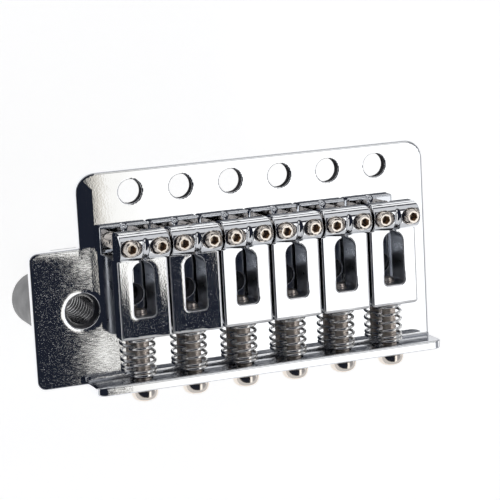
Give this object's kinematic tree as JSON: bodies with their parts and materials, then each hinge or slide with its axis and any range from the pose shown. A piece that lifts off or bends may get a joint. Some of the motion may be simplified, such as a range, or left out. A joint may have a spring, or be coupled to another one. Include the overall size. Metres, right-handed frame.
{
  "type": "guitar tremolo bridge",
  "caption": "Chromed bent-steel tremolo bridge with sprung block saddles, intonation and height screws, and an inertia block below.",
  "frame": {"origin": "middle of the row of six pivot-screw holes, on the underside of the base plate", "axes": "+X across the strings with the arm socket at -X, +Y towards the neck, +Z out of the guitar's top"},
  "size_m": [0.0848, 0.0459, 0.0502],
  "materials": {
    "bright_chrome": "mirror polished chrome plating",
    "cast_zinc": "matte light grey die casting",
    "bright_steel": "plated steel",
    "nickel": "warm nickel plated steel",
    "spring_steel": "bright spring wire"
  },
  "bodies": {
    "bridge": {"base_plate": "bright_chrome", "inertia_block": "cast_zinc", "block_screws": "bright_steel"},
    "spring_1": {"intonation_spring_1": "spring_steel"},
    "intonation_screw_1": {"intonation_screw_1": "nickel"},
    "saddle_1": {"saddle_1": "bright_chrome"},
    "height_screw_1_left": {"height_screw_1_left": "nickel"},
    "height_screw_1_right": {"height_screw_1_right": "nickel"},
    "spring_2": {"intonation_spring_2": "spring_steel"},
    "intonation_screw_2": {"intonation_screw_2": "nickel"},
    "saddle_2": {"saddle_2": "bright_chrome"},
    "height_screw_2_left": {"height_screw_2_left": "nickel"},
    "height_screw_2_right": {"height_screw_2_right": "nickel"},
    "spring_3": {"intonation_spring_3": "spring_steel"},
    "intonation_screw_3": {"intonation_screw_3": "nickel"},
    "saddle_3": {"saddle_3": "bright_chrome"},
    "height_screw_3_left": {"height_screw_3_left": "nickel"},
    "height_screw_3_right": {"height_screw_3_right": "nickel"},
    "spring_4": {"intonation_spring_4": "spring_steel"},
    "intonation_screw_4": {"intonation_screw_4": "nickel"},
    "saddle_4": {"saddle_4": "bright_chrome"},
    "height_screw_4_left": {"height_screw_4_left": "nickel"},
    "height_screw_4_right": {"height_screw_4_right": "nickel"},
    "spring_5": {"intonation_spring_5": "spring_steel"},
    "intonation_screw_5": {"intonation_screw_5": "nickel"},
    "saddle_5": {"saddle_5": "bright_chrome"},
    "height_screw_5_left": {"height_screw_5_left": "nickel"},
    "height_screw_5_right": {"height_screw_5_right": "nickel"},
    "spring_6": {"intonation_spring_6": "spring_steel"},
    "intonation_screw_6": {"intonation_screw_6": "nickel"},
    "saddle_6": {"saddle_6": "bright_chrome"},
    "height_screw_6_left": {"height_screw_6_left": "nickel"},
    "height_screw_6_right": {"height_screw_6_right": "nickel"}
  },
  "joints": [
    {"name": "saddle_1_tilt", "type": "hinge", "parent": "bridge", "child": "spring_1", "pos_m": [-0.02675, -0.0387, 0.005], "axis": [1, 0, 0], "range_deg": [-1.2, 2.5]},
    {"name": "intonation_screw_1_turn", "type": "hinge", "parent": "spring_1", "child": "intonation_screw_1", "pos_m": [-0.02675, -0.0387, 0.005], "axis": [0, 1, 0], "range_deg": [-1801, 2521]},
    {"name": "saddle_1_travel", "type": "slide", "parent": "spring_1", "child": "saddle_1", "axis": [0, 1, 0], "range_m": [-0.0035, 0.0025], "deforming": ["intonation_spring_1"]},
    {"name": "height_screw_1_left_rise", "type": "slide", "parent": "saddle_1", "child": "height_screw_1_left", "axis": [0, 0, 1], "range_m": [-0.0013, 0.0007]},
    {"name": "height_screw_1_right_rise", "type": "slide", "parent": "saddle_1", "child": "height_screw_1_right", "axis": [0, 0, 1], "range_m": [-0.0013, 0.0007]},
    {"name": "saddle_2_tilt", "type": "hinge", "parent": "bridge", "child": "spring_2", "pos_m": [-0.01605, -0.0387, 0.005], "axis": [1, 0, 0], "range_deg": [-1.2, 2.5]},
    {"name": "intonation_screw_2_turn", "type": "hinge", "parent": "spring_2", "child": "intonation_screw_2", "pos_m": [-0.01605, -0.0387, 0.005], "axis": [0, 1, 0], "range_deg": [-1801, 2521]},
    {"name": "saddle_2_travel", "type": "slide", "parent": "spring_2", "child": "saddle_2", "axis": [0, 1, 0], "range_m": [-0.0035, 0.0025], "deforming": ["intonation_spring_2"]},
    {"name": "height_screw_2_left_rise", "type": "slide", "parent": "saddle_2", "child": "height_screw_2_left", "axis": [0, 0, 1], "range_m": [-0.0013, 0.0007]},
    {"name": "height_screw_2_right_rise", "type": "slide", "parent": "saddle_2", "child": "height_screw_2_right", "axis": [0, 0, 1], "range_m": [-0.0013, 0.0007]},
    {"name": "saddle_3_tilt", "type": "hinge", "parent": "bridge", "child": "spring_3", "pos_m": [-0.00535, -0.0387, 0.005], "axis": [1, 0, 0], "range_deg": [-1.2, 2.5]},
    {"name": "intonation_screw_3_turn", "type": "hinge", "parent": "spring_3", "child": "intonation_screw_3", "pos_m": [-0.00535, -0.0387, 0.005], "axis": [0, 1, 0], "range_deg": [-1801, 2521]},
    {"name": "saddle_3_travel", "type": "slide", "parent": "spring_3", "child": "saddle_3", "axis": [0, 1, 0], "range_m": [-0.0035, 0.0025], "deforming": ["intonation_spring_3"]},
    {"name": "height_screw_3_left_rise", "type": "slide", "parent": "saddle_3", "child": "height_screw_3_left", "axis": [0, 0, 1], "range_m": [-0.0013, 0.0007]},
    {"name": "height_screw_3_right_rise", "type": "slide", "parent": "saddle_3", "child": "height_screw_3_right", "axis": [0, 0, 1], "range_m": [-0.0013, 0.0007]},
    {"name": "saddle_4_tilt", "type": "hinge", "parent": "bridge", "child": "spring_4", "pos_m": [0.00535, -0.0387, 0.005], "axis": [1, 0, 0], "range_deg": [-1.2, 2.5]},
    {"name": "intonation_screw_4_turn", "type": "hinge", "parent": "spring_4", "child": "intonation_screw_4", "pos_m": [0.00535, -0.0387, 0.005], "axis": [0, 1, 0], "range_deg": [-1801, 2521]},
    {"name": "saddle_4_travel", "type": "slide", "parent": "spring_4", "child": "saddle_4", "axis": [0, 1, 0], "range_m": [-0.0035, 0.0025], "deforming": ["intonation_spring_4"]},
    {"name": "height_screw_4_left_rise", "type": "slide", "parent": "saddle_4", "child": "height_screw_4_left", "axis": [0, 0, 1], "range_m": [-0.0013, 0.0007]},
    {"name": "height_screw_4_right_rise", "type": "slide", "parent": "saddle_4", "child": "height_screw_4_right", "axis": [0, 0, 1], "range_m": [-0.0013, 0.0007]},
    {"name": "saddle_5_tilt", "type": "hinge", "parent": "bridge", "child": "spring_5", "pos_m": [0.01605, -0.0387, 0.005], "axis": [1, 0, 0], "range_deg": [-1.2, 2.5]},
    {"name": "intonation_screw_5_turn", "type": "hinge", "parent": "spring_5", "child": "intonation_screw_5", "pos_m": [0.01605, -0.0387, 0.005], "axis": [0, 1, 0], "range_deg": [-1801, 2521]},
    {"name": "saddle_5_travel", "type": "slide", "parent": "spring_5", "child": "saddle_5", "axis": [0, 1, 0], "range_m": [-0.0035, 0.0025], "deforming": ["intonation_spring_5"]},
    {"name": "height_screw_5_left_rise", "type": "slide", "parent": "saddle_5", "child": "height_screw_5_left", "axis": [0, 0, 1], "range_m": [-0.0013, 0.0007]},
    {"name": "height_screw_5_right_rise", "type": "slide", "parent": "saddle_5", "child": "height_screw_5_right", "axis": [0, 0, 1], "range_m": [-0.0013, 0.0007]},
    {"name": "saddle_6_tilt", "type": "hinge", "parent": "bridge", "child": "spring_6", "pos_m": [0.02675, -0.0387, 0.005], "axis": [1, 0, 0], "range_deg": [-1.2, 2.5]},
    {"name": "intonation_screw_6_turn", "type": "hinge", "parent": "spring_6", "child": "intonation_screw_6", "pos_m": [0.02675, -0.0387, 0.005], "axis": [0, 1, 0], "range_deg": [-1801, 2521]},
    {"name": "saddle_6_travel", "type": "slide", "parent": "spring_6", "child": "saddle_6", "axis": [0, 1, 0], "range_m": [-0.0035, 0.0025], "deforming": ["intonation_spring_6"]},
    {"name": "height_screw_6_left_rise", "type": "slide", "parent": "saddle_6", "child": "height_screw_6_left", "axis": [0, 0, 1], "range_m": [-0.0013, 0.0007]},
    {"name": "height_screw_6_right_rise", "type": "slide", "parent": "saddle_6", "child": "height_screw_6_right", "axis": [0, 0, 1], "range_m": [-0.0013, 0.0007]}
  ],
  "couplings": [
    {"joint": "intonation_screw_1_turn", "follows": "saddle_1_travel", "rad_per_m": -12566},
    {"joint": "height_screw_1_left_rise", "follows": "saddle_1_tilt", "m_per_rad": -0.02895},
    {"joint": "height_screw_1_right_rise", "follows": "saddle_1_tilt", "m_per_rad": -0.02895},
    {"joint": "intonation_screw_2_turn", "follows": "saddle_2_travel", "rad_per_m": -12566},
    {"joint": "height_screw_2_left_rise", "follows": "saddle_2_tilt", "m_per_rad": -0.02895},
    {"joint": "height_screw_2_right_rise", "follows": "saddle_2_tilt", "m_per_rad": -0.02895},
    {"joint": "intonation_screw_3_turn", "follows": "saddle_3_travel", "rad_per_m": -12566},
    {"joint": "height_screw_3_left_rise", "follows": "saddle_3_tilt", "m_per_rad": -0.02895},
    {"joint": "height_screw_3_right_rise", "follows": "saddle_3_tilt", "m_per_rad": -0.02895},
    {"joint": "intonation_screw_4_turn", "follows": "saddle_4_travel", "rad_per_m": -12566},
    {"joint": "height_screw_4_left_rise", "follows": "saddle_4_tilt", "m_per_rad": -0.02895},
    {"joint": "height_screw_4_right_rise", "follows": "saddle_4_tilt", "m_per_rad": -0.02895},
    {"joint": "intonation_screw_5_turn", "follows": "saddle_5_travel", "rad_per_m": -12566},
    {"joint": "height_screw_5_left_rise", "follows": "saddle_5_tilt", "m_per_rad": -0.02895},
    {"joint": "height_screw_5_right_rise", "follows": "saddle_5_tilt", "m_per_rad": -0.02895},
    {"joint": "intonation_screw_6_turn", "follows": "saddle_6_travel", "rad_per_m": -12566},
    {"joint": "height_screw_6_left_rise", "follows": "saddle_6_tilt", "m_per_rad": -0.02895},
    {"joint": "height_screw_6_right_rise", "follows": "saddle_6_tilt", "m_per_rad": -0.02895}
  ]
}
